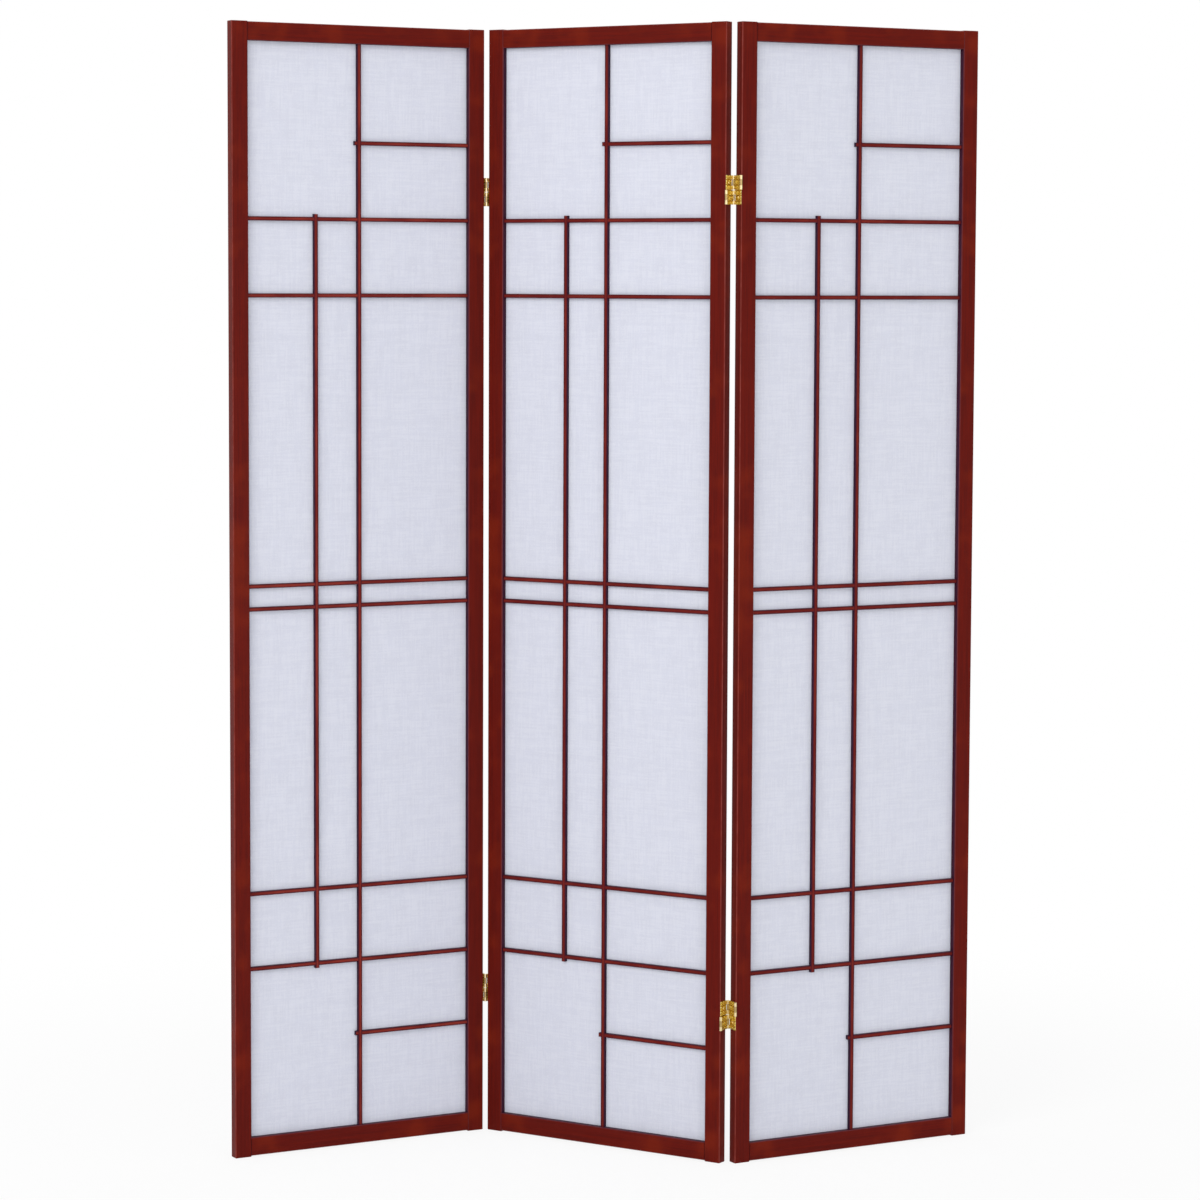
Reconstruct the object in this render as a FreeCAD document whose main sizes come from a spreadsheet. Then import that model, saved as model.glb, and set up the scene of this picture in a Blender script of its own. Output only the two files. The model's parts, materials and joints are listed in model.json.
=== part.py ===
import FreeCAD, Part
import os
import re
import Sketcher

# A folding screen of three equal panels. Each panel is a frame of two stiles and two rails with
# mortise-and-tenon corners, a half-lapped lattice let into the frame, and one sheet of paper glued
# behind the lattice into a rebate. Two-way hinges on the stiles' edges join the panels.
#
# Lengths are millimetres and angles are degrees. +Z is up and the floor is z = 0. +X runs to the
# right along the screen and -Y faces the viewer. The origin is on the floor under the middle of
# the centre panel. A panel's own frame has its origin under the panel's middle, with x along its
# width, y from front to back and z up. A hinge joint's own frame lies midway between two edges.

SIZES = {
    "panel_width": 438.0,  # one panel over its stiles
    "panel_height": 1784.0,  # one panel, and the length of a stile
    "board_thickness": 17.5,  # frame members from front to back
    "stile_width": 27.5,  # upright frame member across its face
    "rail_height": 29.0,  # cross frame member across its face
    "bottom_rail_lift": 1.5,  # bottom rail above the stiles' feet
    "top_rail_drop": 0.8,  # top rail below the stiles' tops
    "arris_bevel": 1.2,  # bevel along the frame members' long edges
    "end_bevel": 0.6,  # bevel round a stile's two ends

    "tenon_length": 18.0,  # rail tenon beyond its shoulder
    "tenon_thickness": 6.0,  # rail tenon from front to back
    "tenon_inset": 5.0,  # shoulder above and below a rail tenon
    "mortise_room": 1.0,  # glue room past the end of a tenon
    "joint_clearance": 0.05,  # glue line on each side of a wood joint

    "paper_depth": 10.0,  # front face of the frame to the paper
    "paper_thickness": 0.4,  # laminated paper sheet
    "rebate_lap": 5.0,  # rebate behind the frame's inner edge
    "paper_margin": 0.5,  # paper's edge to the rebate's wall

    "bar_face": 6.5,  # lattice bar across its face
    "bar_depth": 6.0,  # lattice bar from front to back
    "bar_let_in": 4.0,  # lattice bar's end inside the frame
    "bar_stub": 4.5,  # free end of a bar past the bar that it crosses
    "short_upright_offset": 75.0,  # short upright to the left of the panel's middle
    "middle_pair_drop": 4.5,  # middle of the two close crossbars below the panel's middle
    "middle_pair_spacing": 36.0,  # between the two close crossbars
    "upper_bar_drop": 304.0,  # upper crossbar that ends the short upright, below the top
    "lower_bar_height": 299.5,  # lower crossbar that ends the short upright
    "ladder_spacing": 119.6,  # from those crossbars to their neighbours

    "centre_turn": 31.0,  # centre panel turned clockwise, seen from above
    "fold_angle": 60.5,  # each joint folded from flat

    "pin_gap": 2.5,  # pin line beyond the stile's edge
    "pin_offset": 2.5,  # pin line in front of, or behind, the stile's face
    "pin_radius": 1.0,  # hinge pin
    "running_clearance": 0.05,  # between a pin and its knuckle
    "barrel_radius": 2.2,  # outside of a knuckle
    "knuckle_length": 6.3,  # each end knuckle of a barrel
    "knuckle_space": 0.2,  # between neighbouring knuckles
    "half_height": 22.0,  # upper or lower half of a hinge
    "half_space": 1.0,  # between a hinge's two halves
    "leaf_thickness": 1.2,  # plate on the stile's edge
    "leaf_margin": 0.5,  # stile's face to the plate's long side
    "link_thickness": 1.0,  # swinging plate between two pins
    "link_space": 0.4,  # barrel to the swinging plate's wide part
    "upper_hinge_drop": 258.0,  # middle of an upper hinge below the top
    "lower_hinge_height": 235.0,  # middle of a lower hinge
}

document = FreeCAD.newDocument("FoldingScreen")
sheet = document.addObject("Spreadsheet::Sheet", "Sizes")
for row, (name, value) in enumerate(SIZES.items(), 1):
    sheet.set("A%d" % row, name)
    sheet.set("B%d" % row, str(value))
    sheet.setAlias("B%d" % row, name)
nodes = []

# Lines and planes of a panel, in the panel's own frame.
HALF_WIDTH = "(panel_width / 2)"
OPENING_SIDE = "(panel_width / 2 - stile_width)"
OPENING_BOTTOM = "(bottom_rail_lift + rail_height)"
OPENING_TOP = "(panel_height - top_rail_drop - rail_height)"
FRONT = "(-board_thickness / 2)"
BACK = "(board_thickness / 2)"
BAR_FRONT = "(paper_depth - bar_depth - board_thickness / 2)"
BAR_MIDDLE = "(paper_depth - bar_depth / 2 - board_thickness / 2)"
PAPER_FRONT = "(paper_depth - board_thickness / 2)"

LONG_UPRIGHT = "0"
SHORT_UPRIGHT = "(-short_upright_offset)"
UPPER_BAR = "(panel_height - upper_bar_drop)"
MIDDLE_PAIR = "(panel_height / 2 - middle_pair_drop)"
CROSSBARS = [
    UPPER_BAR,
    "(%s - ladder_spacing)" % UPPER_BAR,
    "(%s + middle_pair_spacing / 2)" % MIDDLE_PAIR,
    "(%s - middle_pair_spacing / 2)" % MIDDLE_PAIR,
    "(lower_bar_height + ladder_spacing)",
    "(lower_bar_height)",
]
SHORT_CROSSBARS = [
    "(%s + ladder_spacing)" % UPPER_BAR,
    "(lower_bar_height - ladder_spacing)",
]

# Lines of a hinge joint, in the joint's own frame.
PIN_DEPTH = "(board_thickness / 2 + pin_offset)"
LEAF_EDGE = "(board_thickness / 2 - leaf_margin)"
LEAF_INNER = "(-pin_gap)"
LEAF_OUTER = "(leaf_thickness - pin_gap)"
HINGE_HEIGHTS = {"upper": "(panel_height - upper_hinge_drop)", "lower": "(lower_hinge_height)"}

POSITION = {
    "x": "Placement.Base.x",
    "y": "Placement.Base.y",
    "z": "Placement.Base.z",
    "turn": "Placement.Rotation.Angle",
}


def bind(thing, **formulas):
    """Ties a feature's properties to formulas of the named sizes."""
    for name, formula in formulas.items():
        text = re.sub(
            r"[a-z]\w*",
            lambda word: "Sizes." + word.group() if word.group() in SIZES else word.group(),
            formula,
        )
        thing.setExpression(POSITION.get(name, name), text)


def about(middle, width):
    """The two formulas of a span of one width about its middle."""
    return "(%s - %s / 2)" % (middle, width), "(%s + %s / 2)" % (middle, width)


def toward(side, start, end):
    """A span from start to end in ascending order, mirrored for the left side."""
    if side > 0:
        return start, end
    return "(-%s)" % end, "(-%s)" % start


def set_span(box, x, y, z):
    """Gives a box its three spans."""
    bind(box, Length="%s - %s" % (x[1], x[0]), Width="%s - %s" % (y[1], y[0]))
    bind(box, Height="%s - %s" % (z[1], z[0]), x=x[0], y=y[0], z=z[0])
    return box


def block(label, x, y, z):
    """A plain box."""
    return set_span(document.addObject("Part::Box", label), x, y, z)


def rod(label, radius, x, y, z):
    """An upright cylinder about (x, y) over the span z."""
    cylinder = document.addObject("Part::Cylinder", label)
    bind(cylinder, Radius=radius, Height="%s - %s" % (z[1], z[0]), x=x, y=y, z=z[0])
    return cylinder


def gather(label, pieces):
    """Separate solids that share one node or one cut."""
    group = document.addObject("Part::Compound", label)
    group.Links = pieces
    return group


def join(label, pieces):
    """One solid made of several touching forms."""
    union = document.addObject("Part::MultiFuse", label)
    union.Shapes = pieces
    union.Refine = True
    return union


def less(label, base, tool):
    """A form with another cut out of it."""
    cut = document.addObject("Part::Cut", label)
    cut.Base = base
    cut.Tool = tool
    cut.Refine = True
    return cut


def rectangle(body, role, label, across, up):
    """A sketched rectangle on one of a body's own origin planes."""
    plane = next(f for f in body.Origin.OriginFeatures if f.Role == role)
    sketch = body.newObject("Sketcher::SketchObject", label)
    sketch.AttachmentSupport = (plane, [""])
    sketch.MapMode = "FlatFace"
    corners = [FreeCAD.Vector(x, y, 0) for x, y in ((0, 0), (1, 0), (1, 1), (0, 1))]
    for i in range(4):
        sketch.addGeometry(Part.LineSegment(corners[i], corners[(i + 1) % 4]), False)
    for i in range(4):
        sketch.addConstraint(Sketcher.Constraint("Coincident", i, 2, (i + 1) % 4, 1))
        direction = "Vertical" if i % 2 else "Horizontal"
        sketch.addConstraint(Sketcher.Constraint(direction, i))
    for line, formulas in ((0, (across[0], up[0])), (2, (across[1], up[1]))):
        start = corners[line]
        for kind, value, formula in zip(("DistanceX", "DistanceY"), (start.x, start.y), formulas):
            index = sketch.addConstraint(Sketcher.Constraint(kind, -1, 1, line, 1, value))
            bind(sketch, **{"Constraints[%d]" % index: formula})
    return sketch


def pad(body, sketch, label, length, both_ways):
    """A sketch raised to a length, from its plane or to both sides of it."""
    feature = body.newObject("PartDesign::Pad", label)
    feature.Profile = sketch
    feature.SideType = "Symmetric" if both_ways else "One side"
    bind(feature, Length=length)
    return feature


def bevel(body, base, label, size, edges):
    """Bevels some edges of a body's latest feature."""
    chamfer = body.newObject("PartDesign::Chamfer", label)
    chamfer.Base = (base, ["Edge%d" % (i + 1) for i, e in enumerate(base.Shape.Edges) if edges(e)])
    bind(chamfer, Size=size)
    document.recompute()
    return chamfer


def bevel_arrises(body, base, direction):
    """Bevels the long edges of a frame member, which run along one direction."""
    document.recompute()
    long_edge = lambda edge: abs(edge.tangentAt(edge.FirstParameter).dot(direction)) > 0.9
    return bevel(body, base, "Arris", "arris_bevel", long_edge)


def bevel_ends(body, base):
    """Bevels the rims of an upright frame member's two ends."""
    ends = [face for face in base.Shape.Faces if abs(face.normalAt(0, 0).z) > 0.9]
    rim = [edge for face in ends for edge in face.Edges]
    bevel(body, base, "EndBevel", "end_bevel", lambda edge: any(edge.isSame(e) for e in rim))


def pocket_block(body, label, x, y, z):
    """A square-cornered recess in a frame member."""
    return set_span(body.newObject("PartDesign::SubtractiveBox", label), x, y, z)


def finish(node, label, place):
    """Names a finished piece and puts it in its place on the screen."""
    node.Label = label
    bind(node, x=place["x"], y=place["y"], z=place["z"], turn=place["turn"])
    nodes.append(node)
    return node


def moved(place, distance, turn="0", z="0"):
    """A place at a distance along another place's own x, with an added turn."""
    return {
        "x": "(%s + %s * cos(%s))" % (place["x"], distance, place["turn"]),
        "y": "(%s + %s * sin(%s))" % (place["y"], distance, place["turn"]),
        "z": z,
        "turn": "(%s + %s)" % (place["turn"], turn),
    }


# The centre panel is turned about the origin. The left joint is folded about its front pins and
# the right joint about its back pins, so the right panel is the left one turned by half a turn.
OUTER_TURN = "(fold_angle - centre_turn)"
REACH = "(panel_width / 2 + pin_gap)"
LEFT_X = "(-%s * (cos(centre_turn) + cos(%s)) - %s * (sin(centre_turn) + sin(%s)))" % (
    REACH, OUTER_TURN, PIN_DEPTH, OUTER_TURN,
)
LEFT_Y = "(%s * (sin(centre_turn) - sin(%s)) - %s * (cos(centre_turn) - cos(%s)))" % (
    REACH, OUTER_TURN, PIN_DEPTH, OUTER_TURN,
)
PANELS = {
    "left": {"x": LEFT_X, "y": LEFT_Y, "z": "0", "turn": OUTER_TURN},
    "centre": {"x": "0", "y": "0", "z": "0", "turn": "(-centre_turn)"},
    "right": {"x": "(-%s)" % LEFT_X, "y": "(-%s)" % LEFT_Y, "z": "0", "turn": OUTER_TURN},
}


def rail_span(top):
    """The top or bottom rail from its lower to its upper edge."""
    if top:
        return OPENING_TOP, "(panel_height - top_rail_drop)"
    return "(bottom_rail_lift)", OPENING_BOTTOM


def tenon_span(top, clearance="0"):
    """The height of a rail's tenon, or of its mortise with a clearance."""
    low, high = rail_span(top)
    return "(%s + tenon_inset - %s)" % (low, clearance), "(%s - tenon_inset + %s)" % (high, clearance)


def stile(panel, side):
    """An upright frame member with its rebate, mortises and bar housings."""
    body = document.addObject("PartDesign::Body", "Stile")
    width = toward(side, OPENING_SIDE, HALF_WIDTH)
    sketch = rectangle(body, "XY_Plane", "StileSection", width, (FRONT, BACK))
    blank = pad(body, sketch, "StileBlank", "panel_height", False)
    bevel_ends(body, bevel_arrises(body, blank, FreeCAD.Vector(0, 0, 1)))

    lap = toward(side, OPENING_SIDE, "(%s + rebate_lap)" % OPENING_SIDE)
    height = "(%s - rebate_lap)" % OPENING_BOTTOM, "(%s + rebate_lap)" % OPENING_TOP
    pocket_block(body, "Rebate", lap, (PAPER_FRONT, BACK), height)

    depth = toward(side, OPENING_SIDE, "(%s + tenon_length + mortise_room)" % OPENING_SIDE)
    thickness = about("0", "(tenon_thickness + 2 * joint_clearance)")
    for top in (False, True):
        pocket_block(body, "Mortise", depth, thickness, tenon_span(top, "joint_clearance"))

    depth = toward(side, OPENING_SIDE, "(%s + bar_let_in + joint_clearance)" % OPENING_SIDE)
    thickness = "(%s - joint_clearance)" % BAR_FRONT, PAPER_FRONT
    for bar in CROSSBARS + (SHORT_CROSSBARS if side > 0 else []):
        face = about(bar, "(bar_face + 2 * joint_clearance)")
        pocket_block(body, "BarHousing", depth, thickness, face)
    label = "%s_panel_%s_stile" % (panel, "right" if side > 0 else "left")
    finish(body, label, PANELS[panel])


def rail(panel, top):
    """A cross frame member with a tenon on each end and a rebate for the paper."""
    body = document.addObject("PartDesign::Body", "Rail")
    height = rail_span(top)
    opening = "(2 * %s)" % OPENING_SIDE
    sketch = rectangle(body, "YZ_Plane", "RailSection", (FRONT, BACK), height)
    blank = pad(body, sketch, "RailBlank", opening, True)
    bevel_arrises(body, blank, FreeCAD.Vector(1, 0, 0))

    thickness = about("0", "tenon_thickness")
    sketch = rectangle(body, "YZ_Plane", "TenonSection", thickness, tenon_span(top))
    pad(body, sketch, "Tenons", "%s + 2 * tenon_length" % opening, True)

    inner = height[0] if top else height[1]
    outward = 1 if top else -1
    lap = inner, "(%s + %d * rebate_lap)" % (inner, outward)
    across = "(-%s)" % OPENING_SIDE, OPENING_SIDE
    pocket_block(body, "Rebate", across, (PAPER_FRONT, BACK), lap[::outward])

    depth = inner, "(%s + %d * (bar_let_in + joint_clearance))" % (inner, outward)
    thickness = "(%s - joint_clearance)" % BAR_FRONT, PAPER_FRONT
    face = about(LONG_UPRIGHT, "(bar_face + 2 * joint_clearance)")
    pocket_block(body, "BarHousing", face, thickness, depth[::outward])
    finish(body, "%s_panel_%s_rail" % (panel, "top" if top else "bottom"), PANELS[panel])


def bars(panel, name, strips, laps, lap_depth):
    """Lattice bars of one kind: square strips, each notched to half its depth at every crossing."""
    depth = BAR_FRONT, PAPER_FRONT
    blanks = gather("Bars", [block("Bar", x, depth, z) for x, z in strips])
    notches = gather("Laps", [block("Lap", x, lap_depth, z) for x, z in laps])
    finish(less("Lattice", blanks, notches), "%s_panel_%s" % (panel, name), PANELS[panel])


def lattice(panel):
    """The panel's bars. Crossbars are notched in front and uprights behind, so all lie flush."""
    gap = "(bar_face + 2 * joint_clearance)"
    in_front = BAR_FRONT, BAR_MIDDLE
    behind = BAR_MIDDLE, PAPER_FRONT
    stub = "(bar_face / 2 + bar_stub)"
    reach = "(%s + bar_let_in)" % OPENING_SIDE

    full = "(-%s)" % reach, reach
    short = "(%s - %s)" % (LONG_UPRIGHT, stub), reach
    strips = [(full, about(z, "bar_face")) for z in CROSSBARS]
    laps = [
        (about(x, gap), about(z, "bar_face"))
        for z in CROSSBARS
        for x in (LONG_UPRIGHT, SHORT_UPRIGHT)
    ]
    bars(panel, "crossbars", strips, laps, in_front)

    strips = [(short, about(z, "bar_face")) for z in SHORT_CROSSBARS]
    laps = [(about(LONG_UPRIGHT, gap), about(z, "bar_face")) for z in SHORT_CROSSBARS]
    bars(panel, "short_crossbars", strips, laps, in_front)

    tall = "(%s - bar_let_in)" % OPENING_BOTTOM, "(%s + bar_let_in)" % OPENING_TOP
    face = about(LONG_UPRIGHT, "bar_face")
    laps = [(face, about(z, gap)) for z in CROSSBARS + SHORT_CROSSBARS]
    bars(panel, "long_upright", [(face, tall)], laps, behind)

    tall = "(%s - %s)" % (CROSSBARS[-1], stub), "(%s + %s)" % (CROSSBARS[0], stub)
    face = about(SHORT_UPRIGHT, "bar_face")
    laps = [(face, about(z, gap)) for z in CROSSBARS]
    bars(panel, "short_upright", [(face, tall)], laps, behind)


def paper(panel):
    """One sheet glued to the backs of the bars and to the shoulder of the frame's rebate."""
    lap = "(rebate_lap - paper_margin)"
    sheet_side = "(%s + %s)" % (OPENING_SIDE, lap)
    width = "(-%s)" % sheet_side, sheet_side
    height = "(%s - %s)" % (OPENING_BOTTOM, lap), "(%s + %s)" % (OPENING_TOP, lap)
    depth = PAPER_FRONT, "(%s + paper_thickness)" % PAPER_FRONT
    body = document.addObject("PartDesign::Body", "Paper")
    set_span(body.newObject("PartDesign::AdditiveBox", "PaperSheet"), width, depth, height)
    finish(body, "%s_panel_paper" % panel, PANELS[panel])


def half_span(up):
    """A hinge's upper or lower half, measured from the hinge's middle."""
    span = "(half_space / 2)", "(half_space / 2 + half_height)"
    return span if up > 0 else ("(-%s)" % span[1], "(-%s)" % span[0])


def end_knuckles(up):
    """The two end knuckles of a hinge's upper or lower barrel."""
    low, high = half_span(up)
    return [(low, "(%s + knuckle_length)" % low), ("(%s - knuckle_length)" % high, high)]


def hinge_leaf(label, place, turning):
    """The plate on an edge, with knuckles at the back above and at the front below.

    The pin on which a link turns is riveted into the two end knuckles of the turning half. The
    other half's pin never turns and is hidden, so its knuckles are solid.
    """
    height = half_span(-1)[0], half_span(1)[1]
    forms = [block("Plate", (LEAF_INNER, LEAF_OUTER), ("(-%s)" % LEAF_EDGE, LEAF_EDGE), height)]
    for up in (1, -1):
        pin_line = "(%d * %s)" % (up, PIN_DEPTH)
        neck = ("(%d * %s)" % (up, LEAF_EDGE), pin_line)[::up]
        for span in end_knuckles(up):
            forms.append(block("Neck", ("(-barrel_radius)", LEAF_OUTER), neck, span))
            forms.append(rod("Knuckle", "barrel_radius", "0", pin_line, span))
        if up == turning:
            forms.append(rod("Pin", "pin_radius", "0", pin_line, half_span(up)))
    finish(join("Leaf", forms), label, place)


def hinge_link(label, place, turning):
    """A swinging plate from a front to a back knuckle. The one on the turning side has a bore."""
    low, high = half_span(1)
    middle = "(%s + knuckle_length + knuckle_space)" % low, "(%s - knuckle_length - knuckle_space)" % high
    thickness = about("0", "link_thickness")
    wide = "(%s - barrel_radius - link_space)" % PIN_DEPTH
    forms = [
        block("LinkPlate", thickness, ("(-%s)" % wide, wide), (low, high)),
        block("LinkTongue", thickness, ("(-%s)" % PIN_DEPTH, PIN_DEPTH), middle),
    ]
    for side in (1, -1):
        forms.append(rod("Knuckle", "barrel_radius", "0", "(%d * %s)" % (side, PIN_DEPTH), middle))
    pin_line = "(%d * %s)" % (turning, PIN_DEPTH)
    bore = rod("PinBore", "pin_radius + running_clearance", "0", pin_line, middle)
    finish(less("Link", join("LinkForm", forms), bore), label, place)


def joint(name, left, right, upper_rider):
    """Two hinges between two panels. Each link rides with the panel that holds its still pin."""
    edges = {
        left: moved(PANELS[left], REACH),
        right: moved(PANELS[right], "(-%s)" % REACH, "180"),
    }
    lower_rider = right if upper_rider == left else left
    for level, height in HINGE_HEIGHTS.items():
        hinge = "%s_joint_%s_hinge" % (name, level)
        for panel, place in edges.items():
            turning = -1 if panel == upper_rider else 1
            leaf = "%s_leaf_on_%s_panel" % (hinge, panel)
            hinge_leaf(leaf, dict(place, z=height), turning)
        below = "(%s - half_space - half_height)" % height
        hinge_link(hinge + "_upper_link", dict(edges[upper_rider], z=height), -1)
        hinge_link(hinge + "_lower_link", dict(edges[lower_rider], z=below), 1)


for panel in PANELS:
    stile(panel, -1)
    stile(panel, 1)
    rail(panel, True)
    rail(panel, False)
    lattice(panel)
    paper(panel)
joint("left", "left", "centre", "left")
joint("right", "centre", "right", "right")

document.recompute()
for thing in document.Objects:
    if {"Invalid", "Error"} & set(thing.State):
        raise RuntimeError("%s has not been built" % thing.Label)
for node in nodes:
    if node.Shape.isNull() or not node.Shape.isValid() or not node.Shape.Solids:
        raise RuntimeError("%s is not a sound solid" % node.Label)

os.makedirs("parts", exist_ok=True)
for node in nodes:
    node.Shape.exportStep("parts/%s.step" % node.Label)
print(len(nodes), "pieces")
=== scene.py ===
"""Finishes, screws, studio and camera for a shoji folding screen.

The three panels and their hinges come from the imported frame. Lengths are metres. +Z is up, +X
runs to the right along the screen and -Y faces the viewer of the lattice side.
"""

import json
import math
from functools import reduce

import bmesh
import bpy
from mathutils import Matrix, Vector

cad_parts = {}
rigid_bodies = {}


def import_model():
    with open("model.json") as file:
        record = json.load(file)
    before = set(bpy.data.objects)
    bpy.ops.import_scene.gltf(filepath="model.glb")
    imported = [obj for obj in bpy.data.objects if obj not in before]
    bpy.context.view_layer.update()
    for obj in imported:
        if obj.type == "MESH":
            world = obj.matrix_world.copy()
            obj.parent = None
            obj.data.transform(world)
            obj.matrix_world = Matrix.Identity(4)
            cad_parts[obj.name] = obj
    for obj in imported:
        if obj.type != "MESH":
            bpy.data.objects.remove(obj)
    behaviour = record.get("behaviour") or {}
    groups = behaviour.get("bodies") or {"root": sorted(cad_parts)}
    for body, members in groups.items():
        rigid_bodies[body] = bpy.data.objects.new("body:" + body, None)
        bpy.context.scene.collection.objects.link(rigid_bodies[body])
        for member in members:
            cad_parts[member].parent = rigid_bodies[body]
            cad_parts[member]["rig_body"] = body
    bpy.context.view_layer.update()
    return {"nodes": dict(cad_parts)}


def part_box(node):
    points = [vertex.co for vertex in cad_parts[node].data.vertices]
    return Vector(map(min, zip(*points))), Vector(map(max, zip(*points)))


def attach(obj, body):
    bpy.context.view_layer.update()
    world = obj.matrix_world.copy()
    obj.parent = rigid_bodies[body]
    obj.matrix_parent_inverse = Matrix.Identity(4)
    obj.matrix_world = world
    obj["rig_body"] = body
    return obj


bl_info = {
    "name": "Shoji Folding Screen",
    "version": (1, 0, 0),
    "blender": (4, 5, 0),
    "location": "3D Viewport > Sidebar > Screen",
    "description": "Finishes a paper folding screen and sets it up in a plain studio",
    "category": "Object",
}

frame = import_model()

MM = 0.001
PANELS = ("left", "centre", "right")
JOINTS = {"left": ("left", "centre"), "right": ("centre", "right")}
FRAME_PIECES = ("left_stile", "right_stile", "top_rail", "bottom_rail")
LATTICE_PIECES = ("crossbars", "short_crossbars", "long_upright", "short_upright")
UPRIGHT_PIECES = ("left_stile", "right_stile", "long_upright", "short_upright")

# How strongly the painted highlight down the middle of a bar's face shows. It is stronger in the
# left panel.
BAR_HIGHLIGHT = {"left": 0.70, "centre": 0.34, "right": 0.34}
# Where that painted highlight starts to fade and where it ends, from the bar's middle line.
BAR_RIDGE = (0.4 * MM, 3.0 * MM)
# Less than the space between any two crossbars, and more than a crossbar's height.
BAR_GAP = 20 * MM
# From a normal that hardly looks along an axis to one that clearly does.
FACING = (0.5, 0.9)
# How much painted shade darkens the frame's sides round the opening.
OPENING_SHADE = 0.85
# Share of the paper's light that comes through it.
TRANSLUCENCY = 0.28
# Just past a hinge plate's half depth, and where its finish turns into that of the knuckles.
PLATE_REACH = 8.4 * MM
PLATE_END, BARREL_START = 8.45 * MM, 8.75 * MM
SCREW_SIDES = 24
# The focal length was fitted in pixels of a frame this wide.
FITTED_WIDTH = 1200

FLOOR_HALF_WIDTH = 30
FLOOR_DROP = 0.5 * MM
FLOOR_TONE = 0.92
# Name, place, width, and power as a share of the key lamp's.
LAMPS = (
    ("key", (-2.8, -5.2, 4.1), 3.6, 1.0),
    ("fill", (3.0, -4.6, 0.3), 3.0, 0.45),
)
LAMP_AIM = (0, 0, 0.85)
SENSOR_WIDTH = 36


def middle(node):
    """The middle of a CAD node's box."""
    low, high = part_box(node)
    return (low + high) / 2


def panel_origin(panel):
    """The point on the floor under a panel's middle."""
    x, y, _ = middle("%s_panel_top_rail" % panel)
    return Vector((x, y, 0))


def upright_offsets(panel):
    """How far the long and the short upright stand from the panel's middle, along the panel."""
    short, long = (middle("%s_panel_%s_upright" % (panel, part)) for part in ("short", "long"))
    return [0.0, -(short - long).xy.length]


def crossbar_heights(panel):
    """The heights of the crossbars' middle lines."""
    heights = []
    for part in ("crossbars", "short_crossbars"):
        mesh = frame["nodes"]["%s_panel_%s" % (panel, part)].data
        levels = sorted(vertex.co.z for vertex in mesh.vertices)
        bottom = levels[0]
        for low, high in zip(levels, levels[1:]):
            if high - low > BAR_GAP:
                heights.append((bottom + low) / 2)
                bottom = high
        heights.append((bottom + levels[-1]) / 2)
    return sorted(heights)


def frame_lines(panel, upright):
    """Where the middle lines of a panel's stiles, or of its rails, run."""
    if upright:
        reach = (middle("%s_panel_left_stile" % panel) - panel_origin(panel)).xy.length
        return -reach, reach
    return tuple(middle("%s_panel_%s_rail" % (panel, end)).z for end in ("bottom", "top"))


def hinge_height(level):
    """The height of the middle of the upper or lower hinges."""
    return middle("left_joint_%s_hinge_leaf_on_left_panel" % level).z


def hinge_parts(part, panel):
    """The hinge leaves, or the links, that ride on a panel."""
    return [
        name
        for name, node in frame["nodes"].items()
        if "_hinge_" in name and part in name and node["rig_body"] == "%s_panel" % panel
    ]


# Settings


class WoodSettings(bpy.types.PropertyGroup):
    """The lacquered wood of the frames and the lattice."""

    stain: bpy.props.FloatVectorProperty(
        name="Stain", description="Main colour of the stained wood",
        subtype="COLOR", size=3, min=0, max=1, default=(0.128, 0.0060, 0.0022),
    )
    dark_grain: bpy.props.FloatVectorProperty(
        name="Dark grain", description="Colour of the darker growth lines",
        subtype="COLOR", size=3, min=0, max=1, default=(0.092, 0.0046, 0.0024),
    )
    bright_grain: bpy.props.FloatVectorProperty(
        name="Bright grain", description="Colour where the stain is thin",
        subtype="COLOR", size=3, min=0, max=1, default=(0.190, 0.0145, 0.0026),
    )
    # Partly wear and partly painted highlight: the lighter, pinker colour of the bevelled edges.
    arris_wear_and_highlight: bpy.props.FloatVectorProperty(
        name="Rubbed arris", description="Colour of the stain on the bevelled edges",
        subtype="COLOR", size=3, min=0, max=1, default=(0.230, 0.045, 0.036),
    )
    pore: bpy.props.FloatVectorProperty(
        name="Pore", description="Colour of the open pores",
        subtype="COLOR", size=3, min=0, max=1, default=(0.045, 0.0030, 0.0030),
    )
    # Painted highlight: the pale colour down the middle of each bar's face.
    bar_highlight: bpy.props.FloatVectorProperty(
        name="Bar face", description="Colour of the lattice bars' planed faces",
        subtype="COLOR", size=3, min=0, max=1, default=(0.275, 0.036, 0.023),
    )
    # Painted shade: a dark purple put on the bars' sides, the edges of their faces and the frame's
    # sides round the opening, where less light falls.
    painted_side_shade: bpy.props.FloatVectorProperty(
        name="Sawn side", description="Colour of the bars' sawn sides and round the openings",
        subtype="COLOR", size=3, min=0, max=1, default=(0.026, 0.0065, 0.0240),
    )
    grain_width: bpy.props.FloatProperty(
        name="Grain width", description="Width of one growth line",
        subtype="DISTANCE", unit="LENGTH", min=0.0005, default=3.2 * MM,
    )
    grain_length: bpy.props.FloatProperty(
        name="Grain stretch", description="Length of a growth line over its width",
        min=1, default=32,
    )
    gloss: bpy.props.FloatProperty(
        name="Roughness", description="Roughness of the satin lacquer",
        subtype="FACTOR", min=0, max=1, default=0.46,
    )


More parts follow.
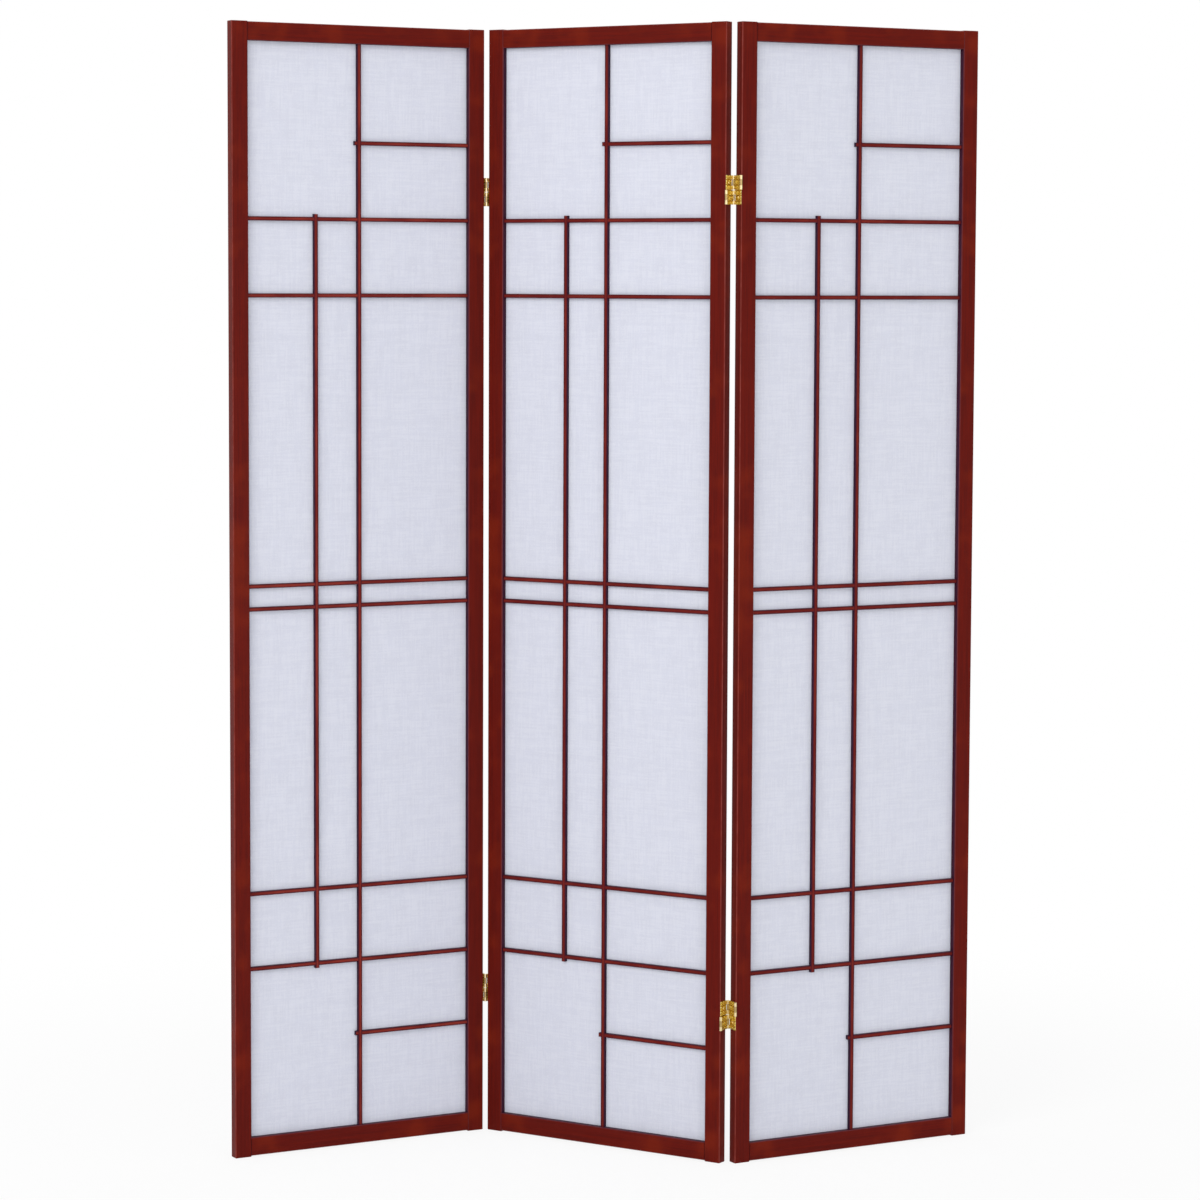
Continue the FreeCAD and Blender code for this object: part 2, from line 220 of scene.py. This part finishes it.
class PaperSettings(bpy.types.PropertyGroup):
    """The fibre paper."""

    sheet: bpy.props.FloatVectorProperty(
        name="Sheet", description="Main colour of the paper",
        subtype="COLOR", size=3, min=0, max=1, default=(0.742, 0.756, 0.838),
    )
    cloud: bpy.props.FloatVectorProperty(
        name="Cloud", description="Colour where the pulp is thick",
        subtype="COLOR", size=3, min=0, max=1, default=(0.724, 0.737, 0.818),
    )
    fibre: bpy.props.FloatVectorProperty(
        name="Fibre", description="Colour of the long pale fibres",
        subtype="COLOR", size=3, min=0, max=1, default=(0.826, 0.838, 0.900),
    )
    thread_width: bpy.props.FloatProperty(
        name="Thread width", description="Width of the threads pressed into the sheet",
        subtype="DISTANCE", unit="LENGTH", min=0.0005, default=2.6 * MM,
    )
    fibre_spacing: bpy.props.FloatProperty(
        name="Fibre spacing", description="Typical distance between long fibres",
        subtype="DISTANCE", unit="LENGTH", min=0.001, default=9 * MM,
    )


class BrassSettings(bpy.types.PropertyGroup):
    """The stamped hinges and their screws."""

    plate: bpy.props.FloatVectorProperty(
        name="Plate", description="Colour of the raised scrolls",
        subtype="COLOR", size=3, min=0, max=1, default=(0.880, 0.660, 0.105),
    )
    recess: bpy.props.FloatVectorProperty(
        name="Recess", description="Colour between the scrolls",
        subtype="COLOR", size=3, min=0, max=1, default=(0.340, 0.165, 0.016),
    )
    # Partly polished brass and partly painted glint: the pale yellow sparkle on the scrolls'
    # crests.
    crest_and_glint: bpy.props.FloatVectorProperty(
        name="Crest", description="Colour of the scrolls' polished crests",
        subtype="COLOR", size=3, min=0, max=1, default=(1.000, 0.940, 0.440),
    )
    # A darker colour for the links' knuckles than for the leaves' knuckles.
    darker_barrel: bpy.props.FloatVectorProperty(
        name="Dull barrel", description="Colour of the links' knuckles",
        subtype="COLOR", size=3, min=0, max=1, default=(0.420, 0.300, 0.130),
    )
    barrel: bpy.props.FloatVectorProperty(
        name="Barrel", description="Colour of the rolled knuckles",
        subtype="COLOR", size=3, min=0, max=1, default=(0.760, 0.610, 0.340),
    )
    scroll: bpy.props.FloatProperty(
        name="Scroll", description="Width of one stamped scroll",
        subtype="DISTANCE", unit="LENGTH", min=0.001, default=8.25 * MM,
    )
    screw_head: bpy.props.FloatProperty(
        name="Screw head", description="Radius of a screw's head",
        subtype="DISTANCE", unit="LENGTH", min=0.0005, default=2.4 * MM,
    )
    screw_rise: bpy.props.FloatProperty(
        name="Screw rise", description="Height of a screw's head above the leaf",
        subtype="DISTANCE", unit="LENGTH", min=0.0001, default=0.35 * MM,
    )


class StudioSettings(bpy.types.PropertyGroup):
    """Floor, lamps and camera."""

    backdrop: bpy.props.FloatVectorProperty(
        name="Backdrop", description="Colour of the floor and the surroundings",
        subtype="COLOR", size=3, min=0, max=1, default=(1.0, 1.0, 1.0),
    )
    sky: bpy.props.FloatProperty(
        name="Sky", description="Strength of the even light from all round", min=0, default=0.74,
    )
    key: bpy.props.FloatProperty(
        name="Key lamp", description="Power of the large lamp high in front",
        subtype="POWER", unit="POWER", min=0, default=165,
    )
    focal_widths: bpy.props.FloatProperty(
        name="Focal length", description="Focal length in widths of the frame",
        min=0.1, default=3730.5 / FITTED_WIDTH,
    )
    camera_place: bpy.props.FloatVectorProperty(
        name="Camera", description="Place of the camera",
        subtype="TRANSLATION", unit="LENGTH", size=3, default=(0.0640, -5.9049, 1.3925),
    )
    camera_yaw: bpy.props.FloatProperty(
        name="Yaw", description="Camera turned to the right",
        subtype="ANGLE", unit="ROTATION", default=math.radians(-0.716),
    )
    camera_pitch: bpy.props.FloatProperty(
        name="Pitch", description="Camera tilted down",
        subtype="ANGLE", unit="ROTATION", default=math.radians(4.596),
    )
    camera_roll: bpy.props.FloatProperty(
        name="Roll", description="Camera rolled about its own axis",
        subtype="ANGLE", unit="ROTATION", default=math.radians(0.226),
    )
    camera_shift: bpy.props.FloatProperty(
        name="Shift", description="Vertical shift of the lens in widths of the frame",
        default=-0.02,
    )


class ScreenSettings(bpy.types.PropertyGroup):
    """Everything that a user of the screen may change."""

    centre_turn: bpy.props.FloatProperty(
        name="Centre turn", description="Turn of the centre panel",
        subtype="ANGLE", unit="ROTATION", default=math.radians(-31),
    )
    outer_turn: bpy.props.FloatProperty(
        name="Outer turn", description="Turn of the left and right panels",
        subtype="ANGLE", unit="ROTATION", default=math.radians(29.5),
    )
    wood: bpy.props.PointerProperty(type=WoodSettings)
    paper: bpy.props.PointerProperty(type=PaperSettings)
    brass: bpy.props.PointerProperty(type=BrassSettings)
    studio: bpy.props.PointerProperty(type=StudioSettings)

    def turn(self, panel):
        """A panel's turn about the vertical."""
        return self.centre_turn if panel == "centre" else self.outer_turn


# Shader building


class Signal:
    """A socket whose arithmetic adds Math nodes to its finish."""

    def __init__(self, finish, socket):
        self.finish = finish
        self.socket = socket

    def math(self, operation, *others):
        """A Math node with this socket as its first value."""
        inputs = dict(enumerate((self, *others)))
        return self.finish.add("ShaderNodeMath", {"operation": operation}, inputs)

    def __add__(self, other):
        return self.math("ADD", other)

    def __sub__(self, other):
        return self.math("SUBTRACT", other)

    def __rsub__(self, other):
        return self * -1 + other

    def __mul__(self, other):
        return self.math("MULTIPLY", other)

    def __truediv__(self, other):
        return self.math("DIVIDE", other)

    def __abs__(self):
        return self.math("ABSOLUTE")

    def __lt__(self, other):
        return self.math("LESS_THAN", other)

    def __gt__(self, other):
        return self.math("GREATER_THAN", other)

    __radd__ = __add__
    __rmul__ = __mul__

    def larger(self, other):
        return self.math("MAXIMUM", other)

    def smaller(self, other):
        return self.math("MINIMUM", other)

    def between(self, low, high):
        """0 at low and below, 1 at high and above, and smooth in between."""
        settings = {"interpolation_type": "SMOOTHSTEP"}
        return self.finish.add("ShaderNodeMapRange", settings, {"Value": self, 1: low, 2: high})


class Finish:
    """The nodes of a material, or of the world, under construction."""

    def __init__(self, owner):
        owner.use_nodes = True
        self.owner = owner
        self.tree = owner.node_tree
        self.tree.nodes.clear()

    def add(self, kind, settings=None, sockets=None, output=0):
        """Adds a node: its settings first, then the values or links of its sockets."""
        node = self.tree.nodes.new(kind)
        for name, value in (settings or {}).items():
            setattr(node, name, value)
        for name, value in (sockets or {}).items():
            if isinstance(value, Signal):
                self.tree.links.new(value.socket, node.inputs[name])
            else:
                node.inputs[name].default_value = value
        return Signal(self, node.outputs[output]) if node.outputs else None

    def coordinates(self, output, place, turn):
        """The Object place, or the surface's Normal, in the frame of a turned panel."""
        raw = self.add("ShaderNodeTexCoord", output=output)
        sockets = {"Vector": raw, "Location": place, "Rotation": (0, 0, turn)}
        return self.add("ShaderNodeMapping", {"vector_type": "TEXTURE"}, sockets)

    def split(self, vector):
        """The three numbers of a vector."""
        first = self.add("ShaderNodeSeparateXYZ", sockets={0: vector})
        return [Signal(self, socket) for socket in first.socket.node.outputs]

    def vector(self, operation, first, second):
        """One Vector Math node on two vectors."""
        settings = {"operation": operation}
        return self.add("ShaderNodeVectorMath", settings, {0: first, 1: second})

    def noise(self, vector, scale, detail=2.0, roughness=0.5, distortion=0.0):
        """Smooth noise with features of about one over the scale."""
        sockets = {"Vector": vector, "Scale": scale, "Detail": detail}
        sockets.update({"Roughness": roughness, "Distortion": distortion})
        return self.add("ShaderNodeTexNoise", sockets=sockets)

    def mix(self, factor, first, second):
        """One colour turning into another. A Mix node's colours are its sockets 6 and 7."""
        first, second = (c if isinstance(c, Signal) else (*c, 1) for c in (first, second))
        settings = {"data_type": "RGBA"}
        return self.add("ShaderNodeMix", settings, {0: factor, 6: first, 7: second}, output=2)

    def bump(self, height, strength, distance):
        """A normal from a height map."""
        sockets = {"Height": height, "Strength": strength, "Distance": distance}
        return self.add("ShaderNodeBump", sockets=sockets)

    def surface(self, **sockets):
        """A Principled surface. Its sockets are named in lower case with underscores."""
        names = {}
        for name, value in sockets.items():
            names[name.replace("_", " ").title().replace("Ior", "IOR")] = value
        return self.add("ShaderNodeBsdfPrincipled", sockets=names)

    def close(self, shader, kind="ShaderNodeOutputMaterial"):
        """Ends the finish with its surface."""
        self.add(kind, sockets={"Surface": shader})
        return self.owner


def new_finish(name):
    """The finish of a new material."""
    return Finish(bpy.data.materials.new(name))


def dress(names, material):
    """Gives CAD nodes a finish."""
    for name in names:
        slots = frame["nodes"][name].data.materials
        slots.clear()
        slots.append(material)


def wood_finish(name, screen, panel, upright, bar):
    """Stained hardwood under satin lacquer, with its grain along one direction of a panel.

    Painted shade darkens the lattice bars' sides, the edges of their faces and the frame's sides
    round its opening, and a painted highlight runs down the middle of each bar's face.
    """
    wood = screen.wood
    turn = screen.turn(panel)
    finish = new_finish(name)
    local = finish.coordinates("Object", panel_origin(panel), turn)
    along = 1 / wood.grain_length
    lines = finish.vector("MULTIPLY", local, (1, 1, along) if upright else (along, 1, 1))

    growth = finish.noise(lines, 1 / wood.grain_width, detail=4.0, roughness=0.62, distortion=0.35)
    fine = finish.noise(lines, 5.5 / wood.grain_width, roughness=0.6)
    pores = finish.noise(lines, 9 / wood.grain_width, detail=1.0).between(0.66, 0.74)
    clouds = finish.noise(local, 16.0, roughness=0.55)
    streak = (growth * 0.72 + fine * 0.28).between(0.36, 0.66)

    colour = finish.mix(streak, wood.dark_grain, wood.stain)
    colour = finish.mix(clouds.between(0.48, 0.74) * 0.55, colour, wood.bright_grain)
    colour = finish.mix(pores * 0.45, colour, wood.pore)

    normal = finish.coordinates("Normal", (0, 0, 0), turn)
    sideways, forwards, upwards = (abs(part) for part in finish.split(normal))
    flatness = sideways.larger(forwards).larger(upwards)
    arris = (1 - flatness).between(0.12, 0.25)
    rubbing = finish.noise(local, 60.0, detail=3.0, roughness=0.7).between(0.30, 0.70)
    # The bevelled edges turn lighter: partly worn stain and partly painted highlight.
    colour = finish.mix(arris * (rubbing * 0.45 + 0.40), colour, wood.arris_wear_and_highlight)

    across, _, height = finish.split(local)
    place = across if upright else height
    if bar:
        bars = upright_offsets(panel) if upright else crossbar_heights(panel)
        offset = reduce(Signal.smaller, [abs(place - line) for line in bars])
        # Painted highlight down the middle of each bar's face, stronger in the left panel.
        ridge = 1 - offset.between(*BAR_RIDGE)
        lively = clouds.between(0.38, 0.62) * 0.6 + 0.4
        colour = finish.mix(ridge * lively * BAR_HIGHLIGHT[panel], colour, wood.bar_highlight)
        # Painted shade: the bars' sides, and their faces towards the edges, take the dark side
        # colour.
        shaded = 1 - forwards.between(*FACING) * (0.45 + 0.55 * ridge)
    else:
        low, high = frame_lines(panel, upright)
        inside = abs(place - (low + high) / 2) < (high - low) / 2
        # Painted shade on the frame's sides that face into the opening.
        shaded = (sideways if upright else upwards).between(*FACING) * inside * OPENING_SHADE
    colour = finish.mix(shaded, colour, wood.painted_side_shade)

    relief = growth * 0.5 + fine * 0.5 - pores * 0.9
    surface = finish.surface(
        base_color=colour,
        roughness=wood.gloss + (fine - 0.5) * 0.16 + (clouds - 0.5) * 0.10 - arris * 0.06,
        specular_ior_level=0.06,
        coat_weight=0.02,
        coat_roughness=0.28,
        normal=finish.bump(relief, strength=0.22, distance=0.25 * MM),
    )
    return finish.close(surface)


def paper_finish(name, screen, panel):
    """Translucent laminated paper with clouds of pulp and long pale fibres."""
    paper = screen.paper
    finish = new_finish(name)
    local = finish.coordinates("Object", panel_origin(panel), screen.turn(panel))
    pulp = finish.noise(local, 46.0, detail=5.0, roughness=0.62)
    fleck = finish.noise(local, 420.0, detail=3.0, roughness=0.7)

    threads = 0
    for factors in ((1, 1, 0.07), (0.07, 1, 1)):
        drawn = finish.vector("MULTIPLY", local, factors)
        threads += finish.noise(drawn, 1 / paper.thread_width, roughness=0.55) * 0.5

    layers = []
    for layer, twist in enumerate((2.4, 3.4, 1.6)):
        shifted = finish.vector("ADD", local, (7.0 * layer, 3.0, 5.0 * layer))
        scale = 1 / paper.fibre_spacing
        field = finish.noise(shifted, scale, detail=1.0, roughness=0.4, distortion=twist)
        layers.append(1 - abs(field - 0.5).between(0.004, 0.014))
    fibres = reduce(Signal.larger, layers)

    colour = finish.mix(pulp.between(0.38, 0.66), paper.sheet, paper.cloud)
    colour = finish.mix(fibres * 0.55, colour, paper.fibre)
    colour = finish.mix(fleck.between(0.55, 0.75) * 0.20, colour, paper.fibre)
    colour = finish.mix(threads.between(0.44, 0.60) * 0.45, colour, paper.fibre)
    relief = fibres * 0.6 + fleck * 0.5 + pulp * 0.3
    normal = finish.bump(relief, strength=0.25, distance=0.15 * MM)
    front = finish.surface(
        base_color=colour,
        roughness=0.78 + (pulp - 0.5) * 0.15,
        specular_ior_level=0.25,
        normal=normal,
    )
    through = finish.add("ShaderNodeBsdfTranslucent", sockets={"Color": colour, "Normal": normal})
    sheet = finish.add("ShaderNodeMixShader", sockets={0: TRANSLUCENCY, 1: front, 2: through})
    return finish.close(sheet)


def scroll_height(across, up, size):
    """The stamped relief: one spiral scroll in each square, every other one mirrored."""
    places = (across / size + 0.5, up / size)
    squares = [place.math("FLOOR") for place in places]
    u, v = (place - square - 0.5 for place, square in zip(places, squares))
    u *= 1 - ((squares[0] + squares[1]) / 2).math("FRACT") * 4
    radius = (u * u + v * v).math("SQRT")
    angle = v.math("ARCTAN2", u)
    ridge = (radius * 15.0 - angle).math("SINE") * 0.5 + 0.5
    round_edge = 1 - radius.between(0.40, 0.50)
    corner = radius.between(0.56, 0.64)
    return (ridge * round_edge).larger(corner * 0.8)


def brass_finish(name, screen, panel, knuckle):
    """Gilt brass plate stamped with scrolls, and plain where it is rolled into knuckles."""
    brass = screen.brass
    finish = new_finish(name)
    local = finish.coordinates("Object", panel_origin(panel), screen.turn(panel))
    _, depth, height = finish.split(local)
    low, high = hinge_height("lower"), hinge_height("upper")
    up = height - (height > (low + high) / 2) * (high - low) - low

    scrolls = scroll_height(depth, up, brass.scroll)
    barrel = abs(depth).between(PLATE_END, BARREL_START)
    tarnish = finish.noise(local, 260.0, detail=4.0, roughness=0.65)
    drawn = finish.vector("MULTIPLY", local, (1, 1, 0.08))
    scratches = finish.noise(drawn, 2400.0, roughness=0.6)

    colour = finish.mix(scrolls.between(0.00, 0.34), brass.recess, brass.plate)
    # The scrolls' crests turn pale yellow: partly polished brass and partly painted glint.
    colour = finish.mix(scrolls.between(0.62, 0.92), colour, brass.crest_and_glint)
    colour = finish.mix(tarnish.between(0.52, 0.78) * 0.35, colour, brass.recess)
    colour = finish.mix(barrel, colour, knuckle)
    relief = scrolls * (1 - barrel) + tarnish * 0.25 + scratches * 0.04
    surface = finish.surface(
        base_color=colour,
        metallic=1.0,
        roughness=0.24 + (tarnish - 0.4) * 0.30 + scratches * 0.06,
        normal=finish.bump(relief, strength=0.9, distance=0.35 * MM),
    )
    return finish.close(surface)


def screw_finish(name, screen):
    """Turned brass, with a fine lathe texture."""
    brass = screen.brass
    finish = new_finish(name)
    place = finish.add("ShaderNodeTexCoord", output="Object")
    lathe = finish.noise(place, 5200.0, roughness=0.6)
    tarnish = finish.noise(place, 900.0, detail=3.0, roughness=0.6)
    colour = finish.mix(tarnish.between(0.45, 0.75), brass.barrel, brass.plate)
    surface = finish.surface(
        base_color=colour,
        metallic=1.0,
        roughness=0.26 + (tarnish - 0.5) * 0.25,
        normal=finish.bump(lathe, strength=0.3, distance=0.05 * MM),
    )
    return finish.close(surface)


# Pieces


def dress_wood(screen, group, pieces):
    """Finishes every panel's frame or lattice, with the grain along each of its pieces."""
    for panel in PANELS:
        for upright in (True, False):
            label = "%s_%s_%s" % (panel, group, "upright" if upright else "level")
            material = wood_finish(label, screen, panel, upright, bar=pieces is LATTICE_PIECES)
            parts = [part for part in pieces if (part in UPRIGHT_PIECES) == upright]
            dress(["%s_panel_%s" % (panel, part) for part in parts], material)


class SCREEN_OT_finish_frames(bpy.types.Operator):
    """Finish the stiles and rails of the three frames"""

    bl_idname = "screen.finish_frames"
    bl_label = "Frames"

    def execute(self, context):
        dress_wood(context.scene.shoji, "frame", FRAME_PIECES)
        return {"FINISHED"}


class SCREEN_OT_finish_lattices(bpy.types.Operator):
    """Finish the bars of the three lattices"""

    bl_idname = "screen.finish_lattices"
    bl_label = "Lattices"

    def execute(self, context):
        dress_wood(context.scene.shoji, "lattice", LATTICE_PIECES)
        return {"FINISHED"}


class SCREEN_OT_finish_papers(bpy.types.Operator):
    """Finish the three sheets of paper"""

    bl_idname = "screen.finish_papers"
    bl_label = "Papers"

    def execute(self, context):
        for panel in PANELS:
            material = paper_finish("%s_paper" % panel, context.scene.shoji, panel)
            dress(["%s_panel_paper" % panel], material)
        return {"FINISHED"}


class SCREEN_OT_finish_hinges(bpy.types.Operator):
    """Finish the hinges, each leaf and link in the frame of the panel that carries it"""

    bl_idname = "screen.finish_hinges"
    bl_label = "Hinges"

    def execute(self, context):
        screen = context.scene.shoji
        knuckles = {"leaf": screen.brass.barrel, "link": screen.brass.darker_barrel}
        for panel in PANELS:
            for part, knuckle in knuckles.items():
                label = "%s_%s_brass" % (panel, part)
                dress(hinge_parts(part, panel), brass_finish(label, screen, panel, knuckle))
        return {"FINISHED"}


def new_object(name, mesh, material):
    """Makes an object of a finished bmesh, and frees the bmesh."""
    data = bpy.data.meshes.new(name)
    mesh.to_mesh(data)
    mesh.free()
    data.materials.append(material)
    thing = bpy.data.objects.new(name, data)
    bpy.context.scene.collection.objects.link(thing)
    return thing


def screw_head(radius, rise):
    """A bmesh of a countersunk screw's head with a crossed recess, its crown towards +Z."""
    mesh = bmesh.new()
    bmesh.ops.create_cone(
        mesh, cap_ends=True, cap_tris=False, segments=SCREW_SIDES,
        radius1=radius, radius2=radius * 0.86, depth=rise,
    )
    bmesh.ops.translate(mesh, vec=(0, 0, rise / 2), verts=mesh.verts)
    crown = next(face for face in mesh.faces if face.normal.z > 0.9)
    for inset in (0.22, 0.10):
        bmesh.ops.inset_individual(mesh, faces=[crown], thickness=radius * inset, depth=0)
    hub = bmesh.ops.poke(mesh, faces=[crown])["verts"][0]
    rim = {vertex for face in hub.link_faces for vertex in face.verts} - {hub}
    arm_spacing = SCREW_SIDES // 4
    for index, vertex in enumerate(sorted(rim, key=lambda v: math.atan2(v.co.y, v.co.x))):
        if index % arm_spacing in (0, 1):
            vertex.co.z -= rise * 0.45
        else:
            vertex.co.xy *= 0.42
    hub.co.z -= rise * 0.8
    return mesh


def leaf_screws(leaf, screen, panel, side):
    """A bmesh of the two screws in a hinge leaf, on its panel's right (1) or left (-1) edge."""
    origin = panel_origin(panel)
    turned = Matrix.Rotation(screen.turn(panel), 4, "Z")
    facing = turned @ Matrix.Rotation(side * math.pi / 2, 4, "Y")
    outward, backward = facing @ Vector((0, 0, 1)), facing @ Vector((0, 1, 0))
    corners = [vertex.co - origin for vertex in frame["nodes"][leaf].data.vertices]
    plate = [corner for corner in corners if abs(corner.dot(backward)) < PLATE_REACH]
    reach = max(corner.dot(outward) for corner in plate)

    low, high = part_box(leaf)
    mesh = bmesh.new()
    for height in (low.z * 0.75 + high.z * 0.25, low.z * 0.25 + high.z * 0.75):
        place = origin + outward * reach + Vector((0, 0, height))
        head = screw_head(screen.brass.screw_head, screen.brass.screw_rise)
        head.transform(Matrix.Translation(place) @ facing)
        data = bpy.data.meshes.new("screw")
        head.to_mesh(data)
        mesh.from_mesh(data)
        head.free()
        bpy.data.meshes.remove(data)
    return mesh


class SCREEN_OT_add_screws(bpy.types.Operator):
    """Add the countersunk screws that hold each hinge leaf to its stile's edge"""

    bl_idname = "screen.add_screws"
    bl_label = "Screws"

    def execute(self, context):
        screen = context.scene.shoji
        material = screw_finish("screw_brass", screen)
        for joint, (left, right) in JOINTS.items():
            for panel, side in ((left, 1), (right, -1)):
                for level in ("upper", "lower"):
                    names = (joint, level, panel)
                    leaf = "%s_joint_%s_hinge_leaf_on_%s_panel" % names
                    label = "%s_joint_%s_hinge_screws_on_%s_panel" % names
                    piece = new_object(label, leaf_screws(leaf, screen, panel, side), material)
                    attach(piece, "%s_panel" % panel)
        return {"FINISHED"}


# Studio


def camera_matrix(studio):
    """The camera's place and its axes: right, up and back."""
    yaw, pitch, roll = studio.camera_yaw, studio.camera_pitch, studio.camera_roll
    right = Vector((math.cos(yaw), -math.sin(yaw), 0))
    level = math.cos(pitch)
    ahead = Vector((math.sin(yaw) * level, math.cos(yaw) * level, -math.sin(pitch)))
    turned = Matrix.Rotation(roll, 3, -ahead)
    axes = Matrix((turned @ right, turned @ right.cross(ahead), -ahead)).transposed()
    return Matrix.Translation(studio.camera_place) @ axes.to_4x4()


def white_to_camera(finish, lit, shown):
    """Mixes two shaders: the second one is what the camera, gloss and glass see."""
    rays = ("Is Camera Ray", "Is Glossy Ray", "Is Transmission Ray")
    seen = reduce(Signal.larger, [finish.add("ShaderNodeLightPath", output=ray) for ray in rays])
    return finish.add("ShaderNodeMixShader", sockets={0: seen, 1: lit, 2: shown})


def floor_finish(studio):
    """Matt near the screen, where its shadow falls, and white further out."""
    finish = new_finish("floor")
    colour = (*(FLOOR_TONE * part for part in studio.backdrop), 1)
    matt = finish.add("ShaderNodeBsdfDiffuse", sockets={"Color": colour})
    glow = finish.add("ShaderNodeEmission", sockets={"Color": (*studio.backdrop, 1)})
    place = finish.add("ShaderNodeTexCoord", output="Object")
    length = {"operation": "LENGTH"}
    reach = finish.add("ShaderNodeVectorMath", length, {0: place}, output="Value")
    white = 0.86 + reach.between(0.7, 2.0) * 0.14
    blend = finish.add("ShaderNodeMixShader", sockets={0: white, 1: matt, 2: glow})
    return finish.close(white_to_camera(finish, matt, blend))


class SCREEN_OT_set_stage(bpy.types.Operator):
    """Set up the pale floor, the soft lamps and the camera"""

    bl_idname = "screen.set_stage"
    bl_label = "Studio"

    def execute(self, context):
        studio = context.scene.shoji.studio
        self.make_world(context.scene, studio)
        self.make_floor(studio)
        self.make_lamps(context.scene, studio)
        self.make_camera(context.scene, studio)
        context.scene.view_settings.view_transform = "Standard"
        return {"FINISHED"}

    def make_world(self, scene, studio):
        """Even light from all round, which the camera sees as plain backdrop."""
        scene.world = bpy.data.worlds.new("studio")
        finish = Finish(scene.world)
        shades = []
        for strength in (studio.sky, 1.0):
            sockets = {"Color": (*studio.backdrop, 1), "Strength": strength}
            shades.append(finish.add("ShaderNodeBackground", sockets=sockets))
        finish.close(white_to_camera(finish, *shades), "ShaderNodeOutputWorld")

    def make_floor(self, studio):
        """One large square just under the screen's feet."""
        mesh = bmesh.new()
        bmesh.ops.create_grid(mesh, x_segments=1, y_segments=1, size=FLOOR_HALF_WIDTH)
        bmesh.ops.translate(mesh, vec=(0, 0, -FLOOR_DROP), verts=mesh.verts)
        floor = new_object("floor", mesh, floor_finish(studio))

    def make_lamps(self, scene, studio):
        """A wide lamp high in front on the left, and a weaker one low on the right."""
        for name, place, width, share in LAMPS:
            data = bpy.data.lights.new(name, "AREA")
            data.shape = "SQUARE"
            data.size = width
            data.energy = studio.key * share
            lamp = bpy.data.objects.new(name, data)
            scene.collection.objects.link(lamp)
            lamp.location = place
            towards = Vector(LAMP_AIM) - Vector(place)
            lamp.rotation_euler = towards.to_track_quat("-Z", "Y").to_euler()

    def make_camera(self, scene, studio):
        """The camera that frames the whole screen."""
        data = bpy.data.cameras.new("camera")
        data.sensor_width = SENSOR_WIDTH
        data.lens = studio.focal_widths * SENSOR_WIDTH
        data.shift_y = studio.camera_shift
        data.clip_start = 0.1
        data.clip_end = 100
        camera = bpy.data.objects.new("camera", data)
        scene.collection.objects.link(camera)
        camera.matrix_world = camera_matrix(studio)
        scene.camera = camera


PIECES = (
    SCREEN_OT_finish_frames,
    SCREEN_OT_finish_lattices,
    SCREEN_OT_finish_papers,
    SCREEN_OT_finish_hinges,
    SCREEN_OT_add_screws,
    SCREEN_OT_set_stage,
)


class SCREEN_PT_sidebar(bpy.types.Panel):
    """The screen's steps and settings"""

    bl_label = "Shoji Folding Screen"
    bl_idname = "SCREEN_PT_sidebar"
    bl_space_type = "VIEW_3D"
    bl_region_type = "UI"
    bl_category = "Screen"

    def draw(self, context):
        screen = context.scene.shoji
        for piece in PIECES:
            self.layout.operator(piece.bl_idname)
        self.layout.prop(screen, "centre_turn")
        self.layout.prop(screen, "outer_turn")
        for group in (screen.wood, screen.paper, screen.brass, screen.studio):
            box = self.layout.box()
            for name in group.__annotations__:
                box.prop(group, name)


CLASSES = (
    WoodSettings,
    PaperSettings,
    BrassSettings,
    StudioSettings,
    ScreenSettings,
    *PIECES,
    SCREEN_PT_sidebar,
)


def register():
    for kind in CLASSES:
        bpy.utils.register_class(kind)
    bpy.types.Scene.shoji = bpy.props.PointerProperty(type=ScreenSettings)


def unregister():
    del bpy.types.Scene.shoji
    for kind in reversed(CLASSES):
        bpy.utils.unregister_class(kind)


def main():
    """Runs every step in order."""
    register()
    for piece in PIECES:
        group, name = piece.bl_idname.split(".")
        getattr(getattr(bpy.ops, group), name)()


if __name__ == "__main__":
    main()
